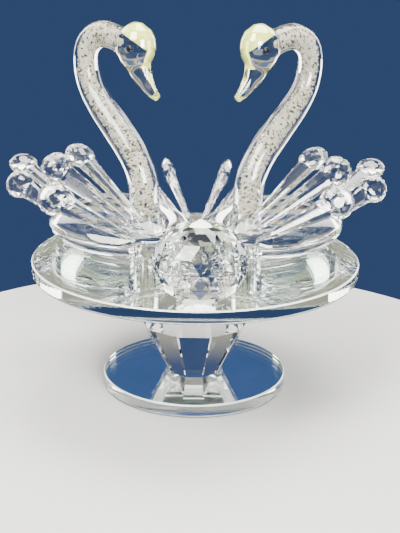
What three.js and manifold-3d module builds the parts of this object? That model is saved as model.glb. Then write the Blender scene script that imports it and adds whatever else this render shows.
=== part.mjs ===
// A cut crystal figurine in millimetres, +Z up. Two swans face each other on a round mirror plate, a faceted
// ball lies in front of them, and a faceted pedestal on a smaller mirror plate carries them all.
// The origin is the centre of the lower plate's underside, and the front is towards -Y.
import * as THREE from "three";
import { mergeVertices } from "three/addons/utils/BufferGeometryUtils.js";
import Module from "manifold-3d";

const wasm = await Module();
wasm.setup();

// Driving dimensions, in millimetres unless a name says otherwise.
const GLUE_GAP = 0.3;

const BASE_RADIUS = 43;
const BASE_THICKNESS = 6;
const PLATE_RADIUS = 75;
const PLATE_THICKNESS = 6;
const PLATE_ARRIS = 0.6;
const PLATE_SIDES = 96;

const PEDESTAL_HEIGHT = 50;
const PEDESTAL_RADIUS = 25.5;
const PEDESTAL_FOOT_RADIUS = 13;
const PEDESTAL_NECK_RADIUS = 10;
const PEDESTAL_SIDES = 10;

const BALL_WIDTH = 41;
const BALL_HEIGHT = 32;
const BALL_TABLE_RADIUS = 6.5;
const BALL_FOOT_RADIUS = 7;
const BALL_SIDES = 12;
const BALL_OVERHANG = 6;
const BALL_OFFSET = 2.3;

const BODY_LENGTH = 76;
const BODY_WIDTH = 60;
const BODY_HEIGHT = 21;
const BODY_SIDES = 14;
const SWAN_SPACING = 71;
const SWAN_SET_BACK = 18;
const SWAN_TURN = THREE.MathUtils.degToRad(40);

const NECK_HEIGHT = 98;
const NECK_RADIUS = 5.95;
const NECK_FOOT_RADIUS = 6.85;
const NECK_SOCKET_FLOOR = 6;
const NECK_SIDES = 16;
const NECK_STEPS = 40;
const HEAD_RADIUS = 9.85;
const HEAD_HALF_WIDTH = 8.2;
const BEAK_TIP_RADIUS = 1.7;

const WING_REACH = 76;
const WING_RISE = 43.3;
const WING_DROP_RADIUS = 7.3;
const TAIL_REACH = 34;
const TAIL_RISE = 17;
const TAIL_DROP_RADIUS = 7.1;
const TAIL_SPREAD = 6.1;
const TAIL_ROOT_INSET = 5;
const TAIL_ROOT_SPACING = 6;
const DROP_THICKNESS = 6;
const DROP_TIP_WIDTH = 2.4;
const DROP_TIP_THICKNESS = 2.2;
const DROP_ARC_SIDES = 12;

// What follows from the driving dimensions.
const pedestalBottom = BASE_THICKNESS;
const plateBottom = pedestalBottom + PEDESTAL_HEIGHT;
const plateTop = plateBottom + PLATE_THICKNESS;

const crystal = new THREE.MeshStandardMaterial({ color: 0xeef3f4, roughness: 0.03, metalness: 0 });
const cappedCrystal = new THREE.MeshStandardMaterial({ color: 0xe9ebc8, roughness: 0.04, metalness: 0 });
const mirror = new THREE.MeshStandardMaterial({ color: 0x8fa6a0, roughness: 0.05, metalness: 0.9 });

// A closed body through rings of points. All rings have as many points, and they run counter-clockwise seen
// from the last one.
function loft(rings) {
  const count = rings[0].length;
  const points = rings.flat();
  const faces = [];
  for (let r = 0; r + 1 < rings.length; r++) {
    for (let i = 0; i < count; i++) {
      const a = r * count + i;
      const b = r * count + ((i + 1) % count);
      faces.push(a, b, b + count, a, b + count, a + count);
    }
  }
  const last = (rings.length - 1) * count;
  for (let i = 1; i + 1 < count; i++) {
    faces.push(0, i + 1, i);
    faces.push(last, last + i, last + i + 1);
  }
  return new THREE.BufferGeometry().setFromPoints(points).setIndex(faces);
}

function solidOf(geometry) {
  const plain = geometry.clone();
  plain.deleteAttribute("normal");
  plain.deleteAttribute("uv");
  const merged = mergeVertices(plain, 1e-4);
  return new wasm.Manifold(
    new wasm.Mesh({
      numProp: 3,
      vertProperties: merged.attributes.position.array,
      triVerts: new Uint32Array(merged.index.array),
    }),
  );
}

function geometryOf(solid) {
  const mesh = solid.getMesh();
  const geometry = new THREE.BufferGeometry();
  geometry.setAttribute("position", new THREE.BufferAttribute(mesh.vertProperties.slice(), 3));
  geometry.setIndex(new THREE.BufferAttribute(mesh.triVerts.slice(), 1));
  return geometry;
}

function piece(name, geometry, material) {
  const flat = geometry.index ? geometry.toNonIndexed() : geometry;
  flat.computeVertexNormals();
  const mesh = new THREE.Mesh(flat, material);
  mesh.name = name;
  return mesh;
}

// A LatheGeometry turns about Y, so it is stood up to turn about Z.
function turned(profile, sides, start = 0) {
  const points = profile.map(([radius, height]) => new THREE.Vector2(radius, height));
  return new THREE.LatheGeometry(points, sides, start).rotateX(Math.PI / 2);
}

function mirrorPlate(radius, thickness) {
  const profile = [
    [0, 0],
    [radius - PLATE_ARRIS, 0],
    [radius, PLATE_ARRIS],
    [radius, thickness - PLATE_ARRIS],
    [radius - PLATE_ARRIS, thickness],
    [0, thickness],
  ];
  return turned(profile, PLATE_SIDES);
}

// The pedestal widens in straight facets from a narrow foot to its girdle, closes over a short crown and ends
// in a stem. One flat facet of its ten faces the front.
function pedestal() {
  const crown = (share) => PEDESTAL_NECK_RADIUS + share * (PEDESTAL_RADIUS - PEDESTAL_NECK_RADIUS);
  const profile = [
    [0, 0],
    [PEDESTAL_FOOT_RADIUS, 0],
    [PEDESTAL_RADIUS, 0.49],
    [crown(0.85), 0.625],
    [crown(0.69), 0.71],
    [crown(0.32), 0.766],
    [crown(0), 0.81],
    [crown(0), 1],
    [0, 1],
  ].map(([radius, share]) => [radius, share * PEDESTAL_HEIGHT]);
  return turned(profile, PEDESTAL_SIDES, Math.PI / PEDESTAL_SIDES);
}

// A ring of an ellipse, turned by a share of one facet.
function ring(lengthRadius, widthRadius, height, sides, turn = 0) {
  return Array.from({ length: sides }, (_, i) => {
    const angle = (2 * Math.PI * (i + turn)) / sides;
    return new THREE.Vector3(lengthRadius * Math.cos(angle), widthRadius * Math.sin(angle), height);
  });
}

// Rows of triangular facets. Each row is turned back by half a facet against the one below, so the ball stays
// convex.
function facetedBall() {
  const middle = BALL_HEIGHT / 2;
  const bulge = (share) => (BALL_WIDTH / 2) * Math.sqrt(1 - (0.94 * share) ** 2);
  const rows = [
    [-1, BALL_FOOT_RADIUS],
    [-0.72, bulge(-0.72)],
    [-0.28, bulge(-0.28)],
    [0.28, bulge(0.28)],
    [0.72, bulge(0.72)],
    [1, BALL_TABLE_RADIUS],
  ];
  const rings = rows.map(([share, radius], i) =>
    ring(radius, radius, middle * (1 + share), BALL_SIDES, -i / 2),
  );
  return loft(rings);
}

// The swan's own frame: +X is the way it heads, +Y its left side, and Z is 0 on the plate.
function bodyShell() {
  const profile = [
    [0, 0.66],
    [0.07, 0.83],
    [0.2, 0.95],
    [0.45, 1],
    [0.62, 0.93],
    [0.8, 0.75],
    [1, 0.42],
  ];
  const rings = profile.map(([share, size]) =>
    ring((size * BODY_LENGTH) / 2, (size * BODY_WIDTH) / 2, share * BODY_HEIGHT, BODY_SIDES, 0.5),
  );
  return loft(rings);
}

// The neck's middle line as shares of its height, from the foot in the body up, over and into the head.
const neckLine = [
  [0.163, NECK_SOCKET_FLOOR / NECK_HEIGHT],
  [0.162, 0.13],
  [0.157, 0.22],
  [0.142, 0.34],
  [0.081, 0.451],
  [-0.027, 0.566],
  [-0.136, 0.67],
  [-0.2, 0.757],
  [-0.222, 0.848],
  [-0.211, 0.921],
  [-0.176, 0.965],
  [-0.113, 0.992],
  [-0.029, 0.984],
  [0.085, 0.952],
];

// The head's middle line, from its crown down to the beak, with its radius there as a share of HEAD_RADIUS.
const headLine = [
  [0.085, 1.058, 0.12],
  [0.089, 1.046, 0.48],
  [0.095, 1.016, 0.84],
  [0.101, 0.98, 0.99],
  [0.106, 0.94, 1],
  [0.114, 0.898, 0.86],
  [0.124, 0.864, 0.61],
  [0.139, 0.835, 0.53],
  [0.168, 0.795, 0.38],
  [0.204, 0.756, 0.28],
];
const beakTip = [0.24, 0.731];

function inSwanPlane([forward, up]) {
  return new THREE.Vector3(forward * NECK_HEIGHT, 0, up * NECK_HEIGHT);
}

// A ring of the given radius about a point of a curve that lies in the swan's own plane.
function ringAcross(centre, along, radius, narrowing, sides) {
  const side = new THREE.Vector3(0, 1, 0);
  const across = new THREE.Vector3().crossVectors(side, along).normalize();
  return Array.from({ length: sides }, (_, i) => {
    const angle = (2 * Math.PI * i) / sides;
    return centre
      .clone()
      .addScaledVector(across, radius * Math.cos(angle))
      .addScaledVector(side, radius * narrowing * Math.sin(angle));
  });
}

function neckTube(margin) {
  const curve = new THREE.CatmullRomCurve3(neckLine.map(inSwanPlane), false, "centripetal");
  const rings = [];
  for (let i = 0; i <= NECK_STEPS; i++) {
    const share = i / NECK_STEPS;
    const widening = 1 - THREE.MathUtils.smoothstep(share, 0.4, 0.64);
    const radius = NECK_RADIUS + (NECK_FOOT_RADIUS - NECK_RADIUS) * widening + margin;
    const along = i === 0 ? new THREE.Vector3(0, 0, 1) : curve.getTangentAt(share);
    const centre = curve.getPointAt(share);
    if (i === 0) centre.z -= margin;
    rings.push(ringAcross(centre, along, radius, 1, NECK_SIDES));
  }
  return loft(rings);
}

function headAndBeak() {
  const radii = headLine.map(([, , share]) => share * HEAD_RADIUS);
  const centres = headLine.map(inSwanPlane);
  centres.push(inSwanPlane(beakTip));
  radii.push(BEAK_TIP_RADIUS);
  const rings = centres.map((centre, i) => {
    const before = centres[Math.max(0, i - 1)];
    const after = centres[Math.min(centres.length - 1, i + 1)];
    const along = after.clone().sub(before).normalize();
    return ringAcross(centre, along, radii[i], HEAD_HALF_WIDTH / HEAD_RADIUS, NECK_SIDES);
  });
  return loft(rings);
}

// A flat cut drop: a round head, a narrower stem that tapers to a blunt tip, and a flat table on each side.
// It runs from its root to the middle of its head, and its table looks along its normal.
function cutDrop({ root, head, normal, radius }, margin) {
  const along = new THREE.Vector3().subVectors(head, root);
  const length = along.length();
  along.normalize();
  const up = normal.clone().addScaledVector(along, -normal.dot(along)).normalize();
  const across = new THREE.Vector3().crossVectors(up, along);
  const outline = [];
  const arc = THREE.MathUtils.degToRad(138);
  for (let i = 0; i <= DROP_ARC_SIDES; i++) {
    const angle = -arc + (2 * arc * i) / DROP_ARC_SIDES;
    outline.push([length + (radius + margin) * Math.cos(angle), (radius + margin) * Math.sin(angle), 1]);
  }
  outline.push([-margin, DROP_TIP_WIDTH / 2 + margin, DROP_TIP_THICKNESS / DROP_THICKNESS]);
  outline.push([-margin, -DROP_TIP_WIDTH / 2 - margin, DROP_TIP_THICKNESS / DROP_THICKNESS]);
  const half = DROP_THICKNESS / 2;
  const layers = [
    [-1, 0.52],
    [-0.3, 1],
    [0.3, 1],
    [1, 0.52],
  ];
  const rings = layers.map(([level, inset]) =>
    outline.map(([x, y, thickness]) => {
      const onHead = x > length * 0.5;
      const pivot = onHead ? length : 0;
      const flatX = pivot + (x - pivot) * (onHead ? inset : 1);
      const height = level * (half * thickness + margin);
      return root
        .clone()
        .addScaledVector(along, flatX)
        .addScaledVector(across, y * inset)
        .addScaledVector(up, height);
    }),
  );
  return loft(rings);
}

// The wing's three drops, each place as forward, to the side and up. A root is given in shares of the body's
// half length, half width and height, and a head in shares of the wing's reach and rise. In each swan's left
// wing, which is the far one, two heads stand a little apart from the near wing's mirror image.
const wingDrops = [
  {
    name: "upper",
    root: [0.632, 0.334, 0.763],
    head: [-0.155, 0.191, 0.99],
    normal: [0.53, 0.2, 0.83],
    size: 0.96,
  },
  {
    name: "middle",
    root: [0.684, 0.466, 0.643],
    head: [-0.163, 0.375, 0.905],
    farHead: [-0.275, 0.33, 0.87],
    normal: [0.58, 0.68, 0.45],
    size: 1,
  },
  {
    name: "lower",
    root: [0.71, 0.633, 0.524],
    head: [-0.066, 0.493, 0.64],
    farHead: [-0.051, 0.506, 0.625],
    normal: [0.62, 0.74, 0.25],
    size: 1.04,
  },
];

function wingDrop({ root, head, farHead = head, normal, size }, side) {
  const place = ([forward, out, up], length, width, height) =>
    new THREE.Vector3(forward * length, side * out * width, up * height);
  return {
    root: place(root, BODY_LENGTH / 2, BODY_WIDTH / 2, BODY_HEIGHT),
    head: place(side > 0 ? farHead : head, WING_REACH, WING_REACH, WING_RISE),
    normal: new THREE.Vector3(normal[0], side * normal[1], normal[2]),
    radius: size * WING_DROP_RADIUS,
  };
}

// The tail's drops, out of the body's rear end: one on each side, and a higher one between them whose table
// is turned towards the front of the figurine.
function tailDrop(side) {
  const middle = side === 0;
  const rear = -BODY_LENGTH / 2 + TAIL_ROOT_INSET;
  const root = new THREE.Vector3(rear, side * TAIL_ROOT_SPACING, (middle ? 0.6 : 0.36) * BODY_HEIGHT);
  const [back, up] = middle ? [1.06, 0.91] : [0.73, 0.81];
  const step = new THREE.Vector3(-back * TAIL_REACH, side * TAIL_SPREAD, up * TAIL_RISE);
  const head = root.clone().add(step);
  const normal = middle ? new THREE.Vector3(0.35, -0.3, 0.89) : new THREE.Vector3(0.5, side * 0.78, 0.4);
  return { root, head, normal, radius: TAIL_DROP_RADIUS };
}

// The drops and the neck are glued into notches of their own shape in the body, with the glue gap all round.
function swan(prefix) {
  const group = new THREE.Group();
  const sides = { right: -1, left: 1 };
  const drops = [];
  for (const [sideName, side] of Object.entries(sides)) {
    for (const drop of wingDrops) {
      drops.push([`${prefix}_${sideName}_wing_${drop.name}_feather`, wingDrop(drop, side)]);
    }
    drops.push([`${prefix}_${sideName}_tail_feather`, tailDrop(side)]);
  }
  drops.push([`${prefix}_middle_tail_feather`, tailDrop(0)]);

  let body = solidOf(bodyShell()).subtract(solidOf(neckTube(GLUE_GAP)));
  for (const [name, drop] of drops) {
    body = body.subtract(solidOf(cutDrop(drop, GLUE_GAP)));
    group.add(piece(name, cutDrop(drop, 0), crystal));
  }
  const neck = solidOf(neckTube(0)).add(solidOf(headAndBeak()));
  group.add(piece(`${prefix}_body`, geometryOf(body), crystal));
  group.add(piece(`${prefix}_neck_and_head`, geometryOf(neck), cappedCrystal));
  return group;
}

const group = new THREE.Group();
group.add(piece("base_plate", mirrorPlate(BASE_RADIUS, BASE_THICKNESS), mirror));

const stand = piece("pedestal", pedestal(), crystal);
stand.position.z = pedestalBottom;
group.add(stand);

const upperPlate = piece("upper_plate", mirrorPlate(PLATE_RADIUS, PLATE_THICKNESS), mirror);
upperPlate.position.z = plateBottom;
group.add(upperPlate);

const ball = piece("faceted_ball", facetedBall(), crystal);
ball.position.set(BALL_OFFSET, -(PLATE_RADIUS + BALL_OVERHANG - BALL_WIDTH / 2), plateTop);
group.add(ball);

// The left swan heads to the right and towards the viewer, and the right one is its mirror image.
const leftSwan = swan("left_swan");
leftSwan.position.set(-SWAN_SPACING / 2, SWAN_SET_BACK, plateTop);
leftSwan.rotation.z = -SWAN_TURN;
group.add(leftSwan);

const mirrored = new THREE.Group();
mirrored.scale.x = -1;
const rightSwan = swan("right_swan");
rightSwan.position.copy(leftSwan.position);
rightSwan.rotation.copy(leftSwan.rotation);
mirrored.add(rightSwan);
group.add(mirrored);

export default group;
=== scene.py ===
import math
import random

import bmesh
import bpy
import numpy as np
from mathutils import Matrix, Vector


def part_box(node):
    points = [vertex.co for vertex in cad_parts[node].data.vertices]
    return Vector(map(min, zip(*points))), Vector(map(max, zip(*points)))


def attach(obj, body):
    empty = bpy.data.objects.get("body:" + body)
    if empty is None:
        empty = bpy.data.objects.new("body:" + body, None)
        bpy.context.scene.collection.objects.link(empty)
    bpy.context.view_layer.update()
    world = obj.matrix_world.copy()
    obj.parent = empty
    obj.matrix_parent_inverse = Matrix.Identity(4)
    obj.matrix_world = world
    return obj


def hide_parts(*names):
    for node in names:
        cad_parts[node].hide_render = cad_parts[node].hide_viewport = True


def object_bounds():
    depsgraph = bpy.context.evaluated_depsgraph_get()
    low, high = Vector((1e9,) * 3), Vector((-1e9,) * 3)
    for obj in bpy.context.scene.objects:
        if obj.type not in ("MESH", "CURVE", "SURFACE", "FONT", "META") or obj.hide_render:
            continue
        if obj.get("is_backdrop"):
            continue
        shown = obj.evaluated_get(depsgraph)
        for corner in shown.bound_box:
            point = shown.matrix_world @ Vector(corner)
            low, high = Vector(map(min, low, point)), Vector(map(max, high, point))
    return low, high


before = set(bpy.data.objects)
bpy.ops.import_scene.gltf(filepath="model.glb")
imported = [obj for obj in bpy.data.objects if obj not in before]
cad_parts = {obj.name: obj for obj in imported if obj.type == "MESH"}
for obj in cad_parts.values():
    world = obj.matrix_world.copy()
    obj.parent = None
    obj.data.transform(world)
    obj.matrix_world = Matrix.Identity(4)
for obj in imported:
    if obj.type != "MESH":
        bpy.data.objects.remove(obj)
cad_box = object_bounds()

MM = 0.001

# The swan's own frame: X is the way it heads, Y its left side, Z up from the plate. In millimetres.
SWAN_SPACING = 71
SWAN_SET_BACK = 18
SWAN_TURN = math.radians(40)
PLATE_TOP = 62

# Neck, head and beak.
NECK_HEIGHT = 98
NECK_RADIUS = 5.95
NECK_FOOT_RADIUS = 6.85
NECK_SOCKET_FLOOR = 6
NECK_SIDES = 32
NECK_STEPS = 150
NECK_THINS_FROM = 0.4
NECK_THINS_OVER = 0.24
HEAD_RADIUS = 9.85
HEAD_HALF_WIDTH = 8.2
HEAD_STEPS = 60
BEAK_TIP_RADIUS = 1.7
CURVE_STEPS = 24
GLASS_VOXEL = 0.4
SIDEWAYS = Vector((0, 1, 0))
EYE_RADIUS = 1.6
EYE_FLATNESS = 0.7
EYE_PLACE = (13.6, 7.6, 93.3)

# The yellow cap. Its lower edge is given as places along the head with heights above the plate, and the
# front of the face as such heights with places.
CAP_BACK = 3.5
CAP_EDGE = [(5.6, 100.4), (10.9, 98.5), (14.8, 96.6), (17.7, 94.5), (19.4, 92.4), (22, 88)]
FACE_LOW = 84.5
FACE_FRONT = [(84, 15.6), (86.9, 17.2), (90.5, 18.8), (92.4, 19.4)]

# The yellow tip of the beak: how far along it starts, above what share of the neck's height it lies, and how
# far it reaches above the end of the beak's middle line.
TIP_FROM = 18
TIP_LOW = 0.7
TIP_HEIGHT = 1.1

# Crushed crystal in the neck: a rough middle with chips round it. CORE_SHARE is a share of the neck's radius,
# and CORE_FROM and CORE_TO are shares of its length. Pairs are the ends of a random range.
CORE_SHARE = 0.41
CORE_FROM = 0.015
CORE_TO = 0.975
CORE_END_STEPS = 12
CORE_SIDES = 14
CORE_MIDDLE = 0.86
CORE_ROUGHNESS = (0.84, 1.1)
CHIP_COUNT = 4200
CHIP_SIZE = 0.6
CHIP_REACH = (0.8, 1.0)
CHIP_STRETCH = (0.35, 1.0)
CHIP_SKEW = (-0.25, 0.25)
CHIP_AXES = ((1, 0, 0), (-1, 0, 0), (0, 1, 0), (0, -1, 0), (0, 0, 1), (0, 0, -1))
CHIP_FACES = ((0, 2, 4), (2, 1, 4), (1, 3, 4), (3, 0, 4), (2, 0, 5), (1, 2, 5), (3, 1, 5), (0, 3, 5))

# The swan's body. Its width at a height is a share of its full width.
BODY_LENGTH = 76
BODY_WIDTH = 60
BODY_HEIGHT = 21
BODY_SIDES = 96
BODY_LEVELS = 28
BODY_WIDEST_AT = 0.45
BODY_FOOT_SIZE = 0.63
BODY_TOP_SIZE = 0.42
BODY_SHOULDER = 1.8
CREASE = math.radians(22)
SOCKET_GAP = 0.3
FEATHER_GAP = 0.25

# The flat window cut into each side of the body: the place it faces, as shares of the body's half sizes, how
# deep it goes, how far it faces up and how wide its ground rim is.
WINDOW_PLACE = (0.474, 0.883, 0.6)
WINDOW_DEPTH = 1.3
WINDOW_RISE = 0.025
WINDOW_RIM = 0.55

# The cut ball: how far its rows spread to its ends, and how much of it the flat ends leave.
BALL_SIDES = 16
BALL_ROWS = 9
BALL_SPREAD = 0.97
BALL_CAP = 0.94

# Feathers. A layer of the head has a height and a size, as shares of the head's, from the table to the
# girdle. A ring of the stem has a distance back from the head's middle, a half width and a half thickness, as
# such shares.
HEAD_FACETS = 16
HEAD_LAYERS = [(1.0, 0.3), (0.88, 0.52), (0.64, 0.74), (0.36, 0.9), (0.1, 1.0)]
STEM_FLUTES = 12
STEM_TIP = 1.2
STEM_RINGS = [(0.73, 0.66, 0.82), (0.3, 0.55, 0.75)]

# Mirror plates.
PLATE_SIDES = 128
PLATE_ARRIS = 0.6
SILVER_THICKNESS = 0.3
SILVER_INSET = 0.4
SILVER_ARRIS = 0.02
SILVER_AIR = 0.02

# The air left between two pieces of glass that rest on each other, so that no two faces coincide.
AIR = 0.04

# The picture, in pixels, and the camera that it was taken from, in millimetres.
PICTURE_WIDTH = 400
PICTURE_HEIGHT = 533
FOCAL_PIXELS = 1080.5
CAMERA_DISTANCE = 500.8
CAMERA_PITCH = math.radians(17.97)
CAMERA_ROLL = math.radians(0.77)
CAMERA_TARGET = (2.2, 0, 56.4)

# The studio, in metres and watts. Each light has a place, a size and a power.
TABLE_RADIUS = 0.17
TABLE_THICKNESS = 0.0295
TABLE_GAP = 0.0005
TABLE_ARRIS = 0.003
TABLE_SIDES = 192
LIGHT_AIM = (0, 0, 0.09)
LIGHT_TINT = (1, 0.98, 0.92)
LIGHTS = {
    "key": ((-0.35, -0.45, 0.7), (0.4, 0.4), 25),
    "top": ((0.1, 0.2, 0.8), (0.6, 0.4), 18),
    "side_left": ((-0.5, 0.5, 0.36), (0.22, 0.8), 6),
    "side_right": ((0.5, 0.5, 0.36), (0.22, 0.8), 6),
    "front": ((0.3, -0.85, 0.4), (0.4, 0.4), 42),
}

# The backdrop's colours from the horizon up. The camera sees only the first, and the bands above it are what
# the glass and the mirrors show.
SKY = [
    (0.0, (0.035, 0.065, 0.16)),
    (0.24, (0.05, 0.09, 0.22)),
    (0.27, (0.6, 0.56, 0.4)),
    (0.34, (0.48, 0.46, 0.36)),
    (0.36, (0.06, 0.12, 0.32)),
    (0.45, (0.07, 0.14, 0.36)),
    (0.47, (0.95, 0.9, 0.7)),
    (0.56, (0.95, 0.9, 0.7)),
    (0.58, (0.03, 0.04, 0.07)),
    (0.66, (0.03, 0.04, 0.07)),
    (0.68, (1.15, 1.1, 0.9)),
    (0.76, (1.15, 1.1, 0.9)),
    (0.78, (0.03, 0.04, 0.06)),
    (0.86, (0.03, 0.04, 0.06)),
    (0.88, (1.2, 1.16, 1.04)),
]

# The neck's middle line as shares of its height, from the foot in the body up, over and into the head.
NECK_LINE = [
    (0.163, NECK_SOCKET_FLOOR / NECK_HEIGHT),
    (0.162, 0.13),
    (0.157, 0.22),
    (0.142, 0.34),
    (0.081, 0.451),
    (-0.027, 0.566),
    (-0.136, 0.67),
    (-0.2, 0.757),
    (-0.222, 0.848),
    (-0.211, 0.921),
    (-0.176, 0.965),
    (-0.113, 0.992),
    (-0.029, 0.984),
    (0.085, 0.952),
]

# The head's middle line down to the beak's tip, and its radius there as a share of HEAD_RADIUS.
HEAD_LINE = [
    (0.085, 1.058, 0.12),
    (0.089, 1.046, 0.48),
    (0.095, 1.016, 0.84),
    (0.101, 0.98, 0.99),
    (0.106, 0.94, 1),
    (0.114, 0.898, 0.86),
    (0.124, 0.864, 0.61),
    (0.139, 0.835, 0.53),
    (0.168, 0.795, 0.38),
    (0.204, 0.756, 0.28),
    (0.24, 0.731, BEAK_TIP_RADIUS / HEAD_RADIUS),
]


# Placing.

def swan_to_world(mirrored):
    """The matrix from a swan's own frame, in millimetres, to the figurine's frame, in metres."""
    turn = Matrix.Rotation(-SWAN_TURN, 4, "Z")
    place = Matrix.Translation((-SWAN_SPACING / 2, SWAN_SET_BACK, PLATE_TOP)) @ turn
    flip = Matrix.Diagonal((-1, 1, 1, 1)) if mirrored else Matrix.Identity(4)
    return Matrix.Diagonal((MM, MM, MM, 1)) @ flip @ place


def new_object(name, mesh):
    obj = bpy.data.objects.new(name, mesh)
    bpy.context.scene.collection.objects.link(obj)
    return obj


def mesh_object(name, points, faces, matrix=None):
    """An object from points and faces, in metres once the matrix is applied."""
    mesh = bpy.data.meshes.new(name)
    mesh.from_pydata([tuple(p) for p in points], [], [tuple(f) for f in faces])
    if matrix is not None:
        mesh.transform(matrix)
    fixed = bmesh.new()
    fixed.from_mesh(mesh)
    bmesh.ops.recalc_face_normals(fixed, faces=fixed.faces)
    fixed.to_mesh(mesh)
    fixed.free()
    return new_object(name, mesh)


def make_smooth(mesh):
    for face in mesh.polygons:
        face.use_smooth = True


def add_piece(obj, slot, *nodes):
    """The piece rides on the figurine's one body, and the named CAD nodes that it stands for are hidden."""
    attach(obj, "root")
    if nodes:
        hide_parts(*nodes)


def end_faces(rings, sides):
    last = (rings - 1) * sides
    return [tuple(reversed(range(sides))), tuple(range(last, last + sides))]


def loft_faces(rings, sides):
    faces = []
    for r in range(rings - 1):
        for i in range(sides):
            a = r * sides + i
            b = r * sides + (i + 1) % sides
            faces.append((a, b, b + sides, a + sides))
    return faces + end_faces(rings, sides)


def staggered_faces(rings, sides):
    """Triangles between rings that each stand half a side on from the last."""
    faces = []
    for r in range(rings - 1):
        for i in range(sides):
            a = r * sides + i
            b = r * sides + (i + 1) % sides
            faces.append((a, b, a + sides))
            faces.append((b, b + sides, a + sides))
    return faces + end_faces(rings, sides)


# Materials.

def new_material(name):
    material = bpy.data.materials.new(name)
    material.use_nodes = True
    nodes = material.node_tree.nodes
    return material, nodes, material.node_tree.links, nodes["Principled BSDF"]


def add_noise(nodes, links, scale, detail=2.0):
    place = nodes.new("ShaderNodeTexCoord")
    noise = nodes.new("ShaderNodeTexNoise")
    noise.inputs["Scale"].default_value = scale
    noise.inputs["Detail"].default_value = detail
    links.new(place.outputs["Object"], noise.inputs["Vector"])
    return noise


def add_ramp(nodes, links, source, stops):
    ramp = nodes.new("ShaderNodeValToRGB")
    points = ramp.color_ramp.elements
    while len(points) < len(stops):
        points.new(0.5)
    for point, (at, colour) in zip(points, stops):
        point.position = at
        point.color = (*colour, 1)
    links.new(source, ramp.inputs["Fac"])
    return ramp


def add_bump(nodes, links, shader, source, strength, distance):
    bump = nodes.new("ShaderNodeBump")
    bump.inputs["Strength"].default_value = strength
    bump.inputs["Distance"].default_value = distance
    links.new(source, bump.inputs["Height"])
    links.new(bump.outputs["Normal"], shader.inputs["Normal"])


def glass(name, light, dark, ior, scale, waves=0.0):
    """Clear glass, whose tint and evenness vary a little from place to place."""
    material, nodes, links, shader = new_material(name)
    shader.inputs["Transmission Weight"].default_value = 1.0
    shader.inputs["IOR"].default_value = ior
    shader.inputs["Roughness"].default_value = 0.0
    noise = add_noise(nodes, links, scale)
    ramp = add_ramp(nodes, links, noise.outputs["Fac"], [(0.35, dark), (0.65, light)])
    links.new(ramp.outputs["Color"], shader.inputs["Base Color"])
    if waves:
        add_bump(nodes, links, shader, noise.outputs["Fac"], waves, 0.0004)
    return material


def crushed_crystal():
    """Broken crystal, packed tight: cream-white faces with dark and olive ones between."""
    material, nodes, links, shader = new_material("crushed_crystal")
    place = nodes.new("ShaderNodeTexCoord")
    cells = nodes.new("ShaderNodeTexVoronoi")
    cells.inputs["Scale"].default_value = 1150
    links.new(place.outputs["Object"], cells.inputs["Vector"])
    stops = [
        (0.0, (0.04, 0.035, 0.015)),
        (0.17, (0.2, 0.18, 0.09)),
        (0.26, (0.97, 0.93, 0.78)),
        (0.6, (1.0, 0.98, 0.88)),
    ]
    split = nodes.new("ShaderNodeSeparateColor")
    links.new(cells.outputs["Color"], split.inputs["Color"])
    ramp = add_ramp(nodes, links, split.outputs["Red"], stops)
    links.new(ramp.outputs["Color"], shader.inputs["Base Color"])
    shader.inputs["Roughness"].default_value = 0.2
    shader.inputs["IOR"].default_value = 1.6
    return material


def cap_glass():
    """Pale yellow-green glass of the head's cap, a little milky."""
    material, nodes, links, shader = new_material("yellow_cap")
    noise = add_noise(nodes, links, 140, 3)
    stops = [(0.3, (0.43, 0.49, 0.08)), (0.55, (0.56, 0.61, 0.15)), (0.75, (0.69, 0.72, 0.28))]
    ramp = add_ramp(nodes, links, noise.outputs["Fac"], stops)
    links.new(ramp.outputs["Color"], shader.inputs["Base Color"])
    shader.inputs["Roughness"].default_value = 0.08
    shader.inputs["Transmission Weight"].default_value = 0.3
    shader.inputs["Coat Weight"].default_value = 1.0
    shader.inputs["Coat Roughness"].default_value = 0.02
    return material


def eye_glass():
    material, nodes, links, shader = new_material("eye_black")
    noise = add_noise(nodes, links, 900)
    stops = [(0.4, (0.004, 0.004, 0.005)), (0.7, (0.012, 0.012, 0.014))]
    ramp = add_ramp(nodes, links, noise.outputs["Fac"], stops)
    links.new(ramp.outputs["Color"], shader.inputs["Base Color"])
    shader.inputs["Roughness"].default_value = 0.22
    shader.inputs["Specular IOR Level"].default_value = 0.18
    return material


def silver():
    """The mirror's silver, seen through its glass, with faint wipe marks."""
    material, nodes, links, shader = new_material("silver")
    shader.inputs["Metallic"].default_value = 1.0
    noise = add_noise(nodes, links, 60, 4)
    ramp = add_ramp(nodes, links, noise.outputs["Fac"], [(0.3, (0.82, 0.86, 0.85)), (0.7, (0.9, 0.93, 0.92))])
    links.new(ramp.outputs["Color"], shader.inputs["Base Color"])
    gloss = add_ramp(nodes, links, noise.outputs["Fac"], [(0.45, (0.0, 0.0, 0.0)), (0.8, (0.03, 0.03, 0.03))])
    links.new(gloss.outputs["Color"], shader.inputs["Roughness"])
    return material


def ground_edge():
    """The plates' ground arris and the windows' rims, pale where the polish stops."""
    material, nodes, links, shader = new_material("ground_edge")
    noise = add_noise(nodes, links, 700, 3)
    ramp = add_ramp(nodes, links, noise.outputs["Fac"], [(0.35, (0.5, 0.58, 0.54)), (0.7, (0.7, 0.77, 0.72))])
    links.new(ramp.outputs["Color"], shader.inputs["Base Color"])
    shader.inputs["Transmission Weight"].default_value = 0.3
    shader.inputs["Roughness"].default_value = 0.3
    add_bump(nodes, links, shader, noise.outputs["Fac"], 0.2, 0.00005)
    return material


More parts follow.
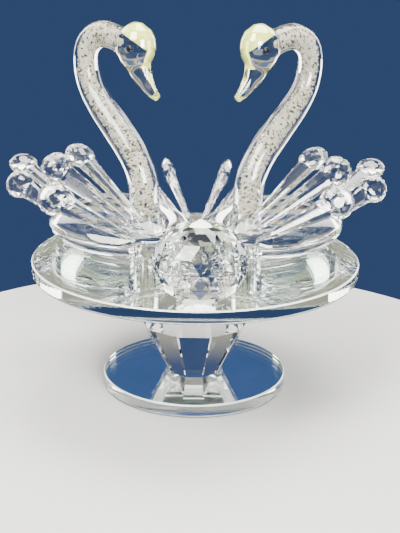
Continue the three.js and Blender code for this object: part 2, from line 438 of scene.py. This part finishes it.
def back_paint():
    material, nodes, links, shader = new_material("back_paint")
    noise = add_noise(nodes, links, 220, 5)
    stops = [(0.35, (0.03, 0.035, 0.04)), (0.7, (0.07, 0.075, 0.08))]
    ramp = add_ramp(nodes, links, noise.outputs["Fac"], stops)
    links.new(ramp.outputs["Color"], shader.inputs["Base Color"])
    shader.inputs["Roughness"].default_value = 0.45
    add_bump(nodes, links, shader, noise.outputs["Fac"], 0.2, 0.0001)
    return material


CRYSTAL = glass("cut_crystal", (0.995, 1.0, 1.0), (0.975, 0.985, 0.98), 1.54, 25)
NECK_GLASS = glass("neck_glass", (1.0, 1.0, 0.995), (0.98, 0.985, 0.97), 1.5, 90, waves=0.15)
PLATE_GLASS = glass("plate_glass", (0.97, 0.99, 0.975), (0.935, 0.975, 0.955), 1.52, 30)
CRUSHED = crushed_crystal()
CAP = cap_glass()
EYE = eye_glass()
SILVER = silver()
BACK_PAINT = back_paint()
GROUND_EDGE = ground_edge()


def dress(obj, *materials):
    obj.data.materials.clear()
    for material in materials:
        obj.data.materials.append(material)


# Mirror plates.

def disc(name, radius, low, high, arris, sides=PLATE_SIDES):
    profile = [(radius - arris, low), (radius, low + arris), (radius, high - arris), (radius - arris, high)]
    points = []
    for ring_radius, height in profile:
        for i in range(sides):
            angle = 2 * math.pi * i / sides
            points.append((ring_radius * math.cos(angle), ring_radius * math.sin(angle), height))
    return mesh_object(name, points, loft_faces(len(profile), sides))


def mirror_plate(node):
    """A glass disc with silver and dark paint behind it, in the place of the plate's solid."""
    low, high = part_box(node)
    radius = high.x
    under = low.z if node == "base_plate" else low.z + AIR * MM
    silver_top = low.z + SILVER_THICKNESS * MM
    backing = disc(node + "_silver", radius - SILVER_INSET * MM, under, silver_top, SILVER_ARRIS * MM)
    dress(backing, SILVER, BACK_PAINT)
    for face in backing.data.polygons:
        face.material_index = 0 if face.normal.z > 0.5 else 1
    add_piece(backing, "mirror_plate")
    slab = disc(node + "_glass", radius, silver_top + SILVER_AIR * MM, high.z - AIR * MM, PLATE_ARRIS * MM)
    dress(slab, PLATE_GLASS, GROUND_EDGE)
    for face in slab.data.polygons:
        face.material_index = 1 if 0.3 < abs(face.normal.z) < 0.9 else 0
    add_piece(slab, "mirror_plate", node)


# The faceted ball.

def faceted_ball():
    low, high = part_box("faceted_ball")
    centre = (low + high) / 2
    radius = (high.x - low.x) / 2
    half_height = (high.z - low.z) / 2
    steepest = math.pi / 2 * BALL_SPREAD
    points = []
    for row in range(BALL_ROWS):
        share = math.sin(steepest * (2 * row / (BALL_ROWS - 1) - 1)) / math.sin(steepest)
        ring_radius = radius * math.sqrt(1 - (BALL_CAP * share) ** 2)
        for i in range(BALL_SIDES):
            angle = 2 * math.pi * (i + row / 2) / BALL_SIDES
            x, y = ring_radius * math.cos(angle), ring_radius * math.sin(angle)
            points.append(centre + Vector((x, y, half_height * share)))
    ball = mesh_object("cut_ball", points, staggered_faces(BALL_ROWS, BALL_SIDES))
    dress(ball, CRYSTAL)
    add_piece(ball, "crystal", "faceted_ball")


# Feathers.

def drop_frame(node):
    """Where a feather's solid lies: its tip, its direction, its two cross axes, its length and its half sizes.
    It runs the way that it widens, from its tip to its head."""
    points = np.array([v.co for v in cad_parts[node].data.vertices], float)
    _, _, axes = np.linalg.svd(points - points.mean(0), full_matrices=False)
    along, across, up = axes
    reach = points @ along
    middle = (reach.min() + reach.max()) / 2
    if np.ptp((points @ across)[reach > middle]) < np.ptp((points @ across)[reach < middle]):
        along = -along
    across = np.cross(up, along)
    local = np.stack([points @ along, points @ across, points @ up], 1)
    low, high = local.min(0), local.max(0)
    centre = (low + high) / 2
    tip = along * low[0] + across * centre[1] + up * centre[2]
    length = high[0] - low[0]
    _, half_width, half_thick = (high - low) / 2
    return Vector(tip), Vector(along), Vector(across), Vector(up), length, half_width, half_thick


def combined(obj, other, operation):
    """One closed body of two, by the exact boolean, and the second is used up."""
    modifier = obj.modifiers.new("combine", "BOOLEAN")
    modifier.operation = operation
    modifier.solver = "EXACT"
    modifier.object = other
    evaluated = obj.evaluated_get(bpy.context.evaluated_depsgraph_get())
    mesh = bpy.data.meshes.new_from_object(evaluated)
    mesh.name = obj.name
    old = obj.data
    obj.modifiers.clear()
    obj.data = mesh
    bpy.data.meshes.remove(old)
    bpy.data.objects.remove(other)


def brilliant_head(place, radius, half_thick):
    """A round head with a table and rows of facets on both sides, each row half a facet on from the last."""
    layers = [(-level, size) for level, size in HEAD_LAYERS] + list(reversed(HEAD_LAYERS))
    points = []
    for row, (level, size) in enumerate(layers):
        for i in range(HEAD_FACETS):
            angle = 2 * math.pi * (i + row / 2) / HEAD_FACETS
            x, y = radius * size * math.cos(angle), radius * size * math.sin(angle)
            points.append(place(x, y, level * half_thick))
    return points, staggered_faces(len(layers), HEAD_FACETS)


def fluted_stem(place, length, radius, half_thick):
    """A straight stem with long flutes, from the tip into the head."""
    rings = [(-length, STEM_TIP * MM, STEM_TIP * MM)]
    for back, width, thickness in STEM_RINGS:
        rings.append((-back * radius, width * radius, thickness * half_thick))
    points = []
    for x, half_width, half_height in rings:
        for i in range(STEM_FLUTES):
            angle = 2 * math.pi * (i + 0.5) / STEM_FLUTES
            points.append(place(x, half_width * math.cos(angle), half_height * math.sin(angle)))
    return points, loft_faces(len(rings), STEM_FLUTES)


def cut_feather(node, body):
    """A cut drop: a brilliant head on a fluted stem, which ends where it meets the body."""
    tip, along, across, up, length, radius, half_thick = drop_frame(node)
    middle = length - radius

    def place(x, y, z):
        return tip + along * (middle + x) + across * y + up * z

    feather = mesh_object(node + "_cut", *brilliant_head(place, radius, half_thick))
    stem = mesh_object(node + "_stem", *fluted_stem(place, middle, radius, half_thick))
    combined(feather, stem, "UNION")
    combined(feather, new_object(node + "_seat", body.copy()), "DIFFERENCE")
    dress(feather, CRYSTAL)
    add_piece(feather, "crystal", node)


# Bodies.

def body_size(share):
    """The body's width at a height, as a share of its full width."""
    if share < BODY_WIDEST_AT:
        below = (BODY_WIDEST_AT - share) / BODY_WIDEST_AT
        return BODY_FOOT_SIZE + (1 - BODY_FOOT_SIZE) * math.sqrt(1 - below ** 2)
    above = (share - BODY_WIDEST_AT) / (1 - BODY_WIDEST_AT)
    return BODY_TOP_SIZE + (1 - BODY_TOP_SIZE) * (1 - above ** BODY_SHOULDER)


def body_lump(name, margin, matrix):
    """A smooth boat-shaped lump, grown by a margin, in millimetres before the matrix."""
    points = []
    for level in range(BODY_LEVELS + 1):
        share = (1 - math.cos(math.pi * level / BODY_LEVELS)) / 2
        size = body_size(share)
        height = share * (BODY_HEIGHT + 2 * margin) - margin
        for i in range(BODY_SIDES):
            angle = 2 * math.pi * i / BODY_SIDES
            length = size * BODY_LENGTH / 2 + margin
            width = size * BODY_WIDTH / 2 + margin
            points.append((length * math.cos(angle), width * math.sin(angle), height))
    return mesh_object(name, points, loft_faces(BODY_LEVELS + 1, BODY_SIDES), matrix)


def cut_window(obj, side):
    """Slices a flat oval window with a ground rim off one side of the body."""
    half = Vector((BODY_LENGTH / 2, side * BODY_WIDTH / 2, BODY_HEIGHT))
    share_x, share_y, share_z = WINDOW_PLACE
    facing = Vector((share_x / half.x, share_y / half.y, WINDOW_RISE)).normalized()
    reach = body_size(share_z) / math.hypot(share_x, share_y)
    outermost = Vector((share_x * half.x * reach, share_y * half.y * reach, share_z * half.z))
    spot = outermost - facing * WINDOW_DEPTH
    work = bmesh.new()
    work.from_mesh(obj.data)
    geometry = work.verts[:] + work.edges[:] + work.faces[:]
    cut = bmesh.ops.bisect_plane(work, geom=geometry, plane_co=spot, plane_no=facing, clear_outer=True)
    edges = [e for e in cut["geom_cut"] if isinstance(e, bmesh.types.BMEdge)]
    bmesh.ops.contextual_create(work, geom=edges)
    rim = bmesh.ops.bevel(work, geom=edges, offset=WINDOW_RIM, segments=1, profile=0.5, affect="EDGES")
    for face in rim["faces"]:
        face.material_index = 1
    work.to_mesh(obj.data)
    work.free()


def smooth_but_creases(mesh):
    """Smooth faces, with a hard edge where two of them meet at more than CREASE or differ in material."""
    make_smooth(mesh)
    work = bmesh.new()
    work.from_mesh(mesh)
    for edge in work.edges:
        one_material = len({face.material_index for face in edge.link_faces}) == 1
        edge.smooth = one_material and edge.calc_face_angle(0) < CREASE
    work.to_mesh(mesh)
    work.free()


def swan_body(prefix, mirrored):
    """The body: a clear lump with a flat window in each side and a socket for the neck."""
    body = body_lump(prefix + "_clear_body", 0, None)
    combined(body, mesh_object(prefix + "_socket", *neck_tube(SOCKET_GAP)), "DIFFERENCE")
    cut_window(body, -1)
    cut_window(body, 1)
    lift = Matrix.Translation((0, 0, AIR))
    body.data.transform(swan_to_world(mirrored) @ lift)
    if mirrored:
        body.data.flip_normals()
    smooth_but_creases(body.data)
    dress(body, CRYSTAL, GROUND_EDGE)
    add_piece(body, "crystal", prefix + "_body")


# Necks and heads.

def smooth_line(points, steps):
    """Points at even distances along a centripetal Catmull-Rom curve."""
    points = [Vector((p[0], 0, p[1])) * NECK_HEIGHT for p in points]
    ends = [points[0] * 2 - points[1], *points, points[-1] * 2 - points[-2]]
    fine = []
    for p0, p1, p2, p3 in zip(ends, ends[1:], ends[2:], ends[3:]):
        t1 = (p1 - p0).length ** 0.5
        t2 = t1 + (p2 - p1).length ** 0.5
        t3 = t2 + (p3 - p2).length ** 0.5
        for k in range(CURVE_STEPS):
            t = t1 + (t2 - t1) * k / CURVE_STEPS
            a1 = p0 * (t1 - t) / t1 + p1 * t / t1
            a2 = p1 * (t2 - t) / (t2 - t1) + p2 * (t - t1) / (t2 - t1)
            a3 = p2 * (t3 - t) / (t3 - t2) + p3 * (t - t2) / (t3 - t2)
            b1 = a1 * (t2 - t) / t2 + a2 * t / t2
            b2 = a2 * (t3 - t) / (t3 - t1) + a3 * (t - t1) / (t3 - t1)
            fine.append(b1 * (t2 - t) / (t2 - t1) + b2 * (t - t1) / (t2 - t1))
    fine.append(points[-1])
    walked = [0.0]
    for a, b in zip(fine, fine[1:]):
        walked.append(walked[-1] + (b - a).length)
    even = []
    for k in range(steps + 1):
        goal = walked[-1] * k / steps
        i = next((j for j in range(1, len(walked)) if walked[j] >= goal - 1e-9), len(walked) - 1)
        share = (goal - walked[i - 1]) / (walked[i] - walked[i - 1])
        even.append(fine[i - 1].lerp(fine[i], share))
    return even


def line_tangent(line, i):
    return (line[min(i + 1, len(line) - 1)] - line[max(i - 1, 0)]).normalized()


def ring_across(centre, along, radius, half_width, sides):
    across = SIDEWAYS.cross(along).normalized()
    ring = []
    for i in range(sides):
        angle = 2 * math.pi * i / sides
        ring.append(centre + across * radius * math.cos(angle) + SIDEWAYS * half_width * math.sin(angle))
    return ring


def neck_radius(share):
    """The neck's radius at a share of its length, from its foot."""
    step = min(1, max(0, (share - NECK_THINS_FROM) / NECK_THINS_OVER))
    return NECK_FOOT_RADIUS + (NECK_RADIUS - NECK_FOOT_RADIUS) * step * step * (3 - 2 * step)


def neck_tube(margin=0):
    """The neck from its foot into the head, grown by a margin."""
    line = smooth_line(NECK_LINE, NECK_STEPS)
    points = []
    for i, centre in enumerate(line):
        along = Vector((0, 0, 1)) if i == 0 else line_tangent(line, i)
        radius = neck_radius(i / NECK_STEPS) + margin
        foot = Vector((0, 0, margin)) if i == 0 else Vector()
        points += ring_across(centre - foot, along, radius, radius, NECK_SIDES)
    return points, loft_faces(len(line), NECK_SIDES)


def head_line_smooth():
    centres = smooth_line([(x, z) for x, z, _ in HEAD_LINE], HEAD_STEPS)
    known = [Vector((x, 0, z)) * NECK_HEIGHT for x, z, _ in HEAD_LINE]
    walked = [0.0]
    for a, b in zip(known, known[1:]):
        walked.append(walked[-1] + (b - a).length)
    radii = [share * HEAD_RADIUS for _, _, share in HEAD_LINE]
    at = np.linspace(0, walked[-1], HEAD_STEPS + 1)
    return centres, np.interp(at, walked, radii)


def head_body():
    centres, radii = head_line_smooth()
    points = []
    narrowing = HEAD_HALF_WIDTH / HEAD_RADIUS
    for i, centre in enumerate(centres):
        points += ring_across(centre, line_tangent(centres, i), radii[i], radii[i] * narrowing, NECK_SIDES)
    return points, loft_faces(len(centres), NECK_SIDES)


def fused(name, parts):
    """One smooth body of several closed ones, in millimetres."""
    points = []
    faces = []
    for part_points, part_faces in parts:
        start = len(points)
        points += part_points
        faces += [tuple(v + start for v in f) for f in part_faces]
    obj = mesh_object(name, points, faces)
    remesh = obj.modifiers.new("fuse", "REMESH")
    remesh.mode = "VOXEL"
    remesh.voxel_size = GLASS_VOXEL
    relax = obj.modifiers.new("relax", "SMOOTH")
    relax.factor = 0.5
    relax.iterations = 6
    evaluated = obj.evaluated_get(bpy.context.evaluated_depsgraph_get())
    mesh = bpy.data.meshes.new_from_object(evaluated)
    mesh.name = name
    bpy.data.objects.remove(obj)
    make_smooth(mesh)
    return mesh


def along_line(line, at):
    places, values = zip(*line)
    return float(np.interp(at, places, values))


def is_yellow(point):
    """The cap covers the crown and runs down the face's front to the beak's root. The beak's tip is yellow
    too."""
    on_crown = point.z > along_line(CAP_EDGE, point.x)
    on_front = point.z > FACE_LOW and point.x > along_line(FACE_FRONT, point.z)
    tip_top = HEAD_LINE[-1][1] * NECK_HEIGHT + TIP_HEIGHT
    on_tip = point.x > TIP_FROM and TIP_LOW * NECK_HEIGHT < point.z < tip_top
    return point.x > CAP_BACK and (on_crown or on_front or on_tip)


def core_radius(step, last):
    """The core's radius, which runs out to a point in the head."""
    end = min(1, (last - step + 1) / CORE_END_STEPS)
    return neck_radius(step / NECK_STEPS) * CORE_SHARE * math.sqrt(end)


def crushed_core(seed):
    """Chips of broken crystal, packed round a rough middle, along the neck."""
    draw = random.Random(seed)
    line = smooth_line(NECK_LINE, NECK_STEPS)
    first = int(CORE_FROM * NECK_STEPS)
    last = int(CORE_TO * NECK_STEPS)
    points = []
    for i in range(first, last + 1):
        middle = core_radius(i, last) * CORE_MIDDLE
        for p in ring_across(line[i], line_tangent(line, i), middle, middle, CORE_SIDES):
            points.append(line[i] + (p - line[i]) * draw.uniform(*CORE_ROUGHNESS))
    faces = loft_faces(last - first + 1, CORE_SIDES)
    for _ in range(CHIP_COUNT):
        i = draw.randint(first, last)
        across = SIDEWAYS.cross(line_tangent(line, i)).normalized()
        angle = draw.uniform(0, 2 * math.pi)
        reach = core_radius(i, last) * draw.uniform(*CHIP_REACH)
        centre = line[i] + across * reach * math.cos(angle) + SIDEWAYS * reach * math.sin(angle)
        start = len(points)
        for axis in CHIP_AXES:
            stretch = CHIP_SIZE * draw.uniform(*CHIP_STRETCH)
            skew = Vector([draw.uniform(*CHIP_SKEW) for _ in range(3)])
            points.append(centre + Vector(axis) * stretch + skew)
        for a, b, c in CHIP_FACES:
            faces.append((start + a, start + b, start + c))
    return points, faces


def eye(name, side, matrix):
    """A black glass bead let into the cheek."""
    x, y, z = EYE_PLACE
    bead = bmesh.new()
    bmesh.ops.create_uvsphere(bead, u_segments=24, v_segments=16, radius=EYE_RADIUS)
    for v in bead.verts:
        v.co.y *= EYE_FLATNESS
        v.co += Vector((x, side * y, z))
    mesh = bpy.data.meshes.new(name)
    bead.to_mesh(mesh)
    bead.free()
    mesh.transform(matrix)
    if matrix.determinant() < 0:
        mesh.flip_normals()
    make_smooth(mesh)
    obj = new_object(name, mesh)
    dress(obj, EYE)
    add_piece(obj, "neck_crystal")


def neck_and_head(prefix, mirrored, seed):
    """The glass neck and head with the yellow on it, the crushed crystal inside it and the eyes."""
    matrix = swan_to_world(mirrored)
    mesh = fused(prefix + "_neck_glass", [neck_tube(), head_body()])
    obj = new_object(prefix + "_neck_glass", mesh)
    dress(obj, NECK_GLASS, CAP)
    for face in mesh.polygons:
        face.material_index = 1 if is_yellow(face.center) else 0
    mesh.transform(matrix)
    if mirrored:
        mesh.flip_normals()
    add_piece(obj, "neck_crystal", prefix + "_neck_and_head")
    core = mesh_object(prefix + "_crushed_crystal", *crushed_core(seed), matrix)
    dress(core, CRUSHED)
    add_piece(core, "neck_crystal")
    eye(prefix + "_right_eye", -1, matrix)
    eye(prefix + "_left_eye", 1, matrix)


# Building.

mirror_plate("base_plate")
mirror_plate("upper_plate")
faceted_ball()
dress(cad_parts["pedestal"], CRYSTAL)
for prefix, mirrored, seed in (("left_swan", False, 11), ("right_swan", True, 12)):
    seat = body_lump(prefix + "_seat", FEATHER_GAP, swan_to_world(mirrored))
    for node in sorted(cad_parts):
        if node.startswith(prefix) and node.endswith("_feather"):
            cut_feather(node, seat.data)
    bpy.data.objects.remove(seat)
    swan_body(prefix, mirrored)
    neck_and_head(prefix, mirrored, seed)


# Stage, light and camera.

def stage_material(name, light, dark, roughness):
    material, nodes, links, shader = new_material(name)
    noise = add_noise(nodes, links, 3)
    ramp = add_ramp(nodes, links, noise.outputs["Fac"], [(0.3, dark), (0.7, light)])
    links.new(ramp.outputs["Color"], shader.inputs["Base Color"])
    shader.inputs["Roughness"].default_value = roughness
    return material


def stage():
    """A round pale table, whose far edge stands where the photo's horizon is."""
    low = -TABLE_GAP - TABLE_THICKNESS
    table = disc("table", TABLE_RADIUS, low, -TABLE_GAP, TABLE_ARRIS, TABLE_SIDES)
    dress(table, stage_material("table_pale", (0.38, 0.38, 0.39), (0.355, 0.355, 0.365), 0.5))
    table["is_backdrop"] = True


def area_light(name, place, size, power):
    data = bpy.data.lights.new(name, "AREA")
    data.shape = "RECTANGLE"
    data.size, data.size_y = size
    data.energy = power
    data.color = LIGHT_TINT
    obj = bpy.data.objects.new(name, data)
    obj.location = place
    obj.rotation_euler = (Vector(LIGHT_AIM) - Vector(place)).to_track_quat("-Z", "Y").to_euler()
    bpy.context.scene.collection.objects.link(obj)


def studio():
    """The backdrop: plain blue-grey behind the figurine, with the pale and dark bands of SKY overhead."""
    world = bpy.data.worlds.new("studio")
    bpy.context.scene.world = world
    world.use_nodes = True
    nodes, links = world.node_tree.nodes, world.node_tree.links
    place = nodes.new("ShaderNodeTexCoord")
    split = nodes.new("ShaderNodeSeparateXYZ")
    links.new(place.outputs["Generated"], split.inputs["Vector"])
    ramp = add_ramp(nodes, links, split.outputs["Z"], SKY)
    links.new(ramp.outputs["Color"], nodes["Background"].inputs["Color"])


def camera():
    """The camera that the photo was taken with, fitted to the outlines of the plates."""
    target = Vector(CAMERA_TARGET) * MM
    back = Vector((0, -math.cos(CAMERA_PITCH), math.sin(CAMERA_PITCH)))
    right = Vector((1, 0, 0))
    up = back.cross(right)
    tilted_right = right * math.cos(CAMERA_ROLL) + up * math.sin(CAMERA_ROLL)
    tilted_up = up * math.cos(CAMERA_ROLL) - right * math.sin(CAMERA_ROLL)
    data = bpy.data.cameras.new("camera")
    data.sensor_width = 36
    data.lens = FOCAL_PIXELS * data.sensor_width / max(PICTURE_WIDTH, PICTURE_HEIGHT)
    data.clip_start = 0.01
    obj = bpy.data.objects.new("camera", data)
    turn = Matrix((tilted_right, tilted_up, back)).transposed().to_4x4()
    obj.matrix_world = Matrix.Translation(target + back * CAMERA_DISTANCE * MM) @ turn
    bpy.context.scene.collection.objects.link(obj)
    bpy.context.scene.camera = obj


stage()
for name, (place, size, power) in LIGHTS.items():
    area_light(name, place, size, power)
studio()
camera()

# Light passes through many faces of glass before it comes out.
cycles = bpy.context.scene.cycles
cycles.max_bounces = 24
cycles.transmission_bounces = 24
cycles.glossy_bounces = 12
cycles.transparent_max_bounces = 16
cycles.sample_clamp_indirect = 8

boxes = {"cad": cad_box, "visual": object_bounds()}
{name: [list(corner) for corner in box] for name, box in boxes.items()}
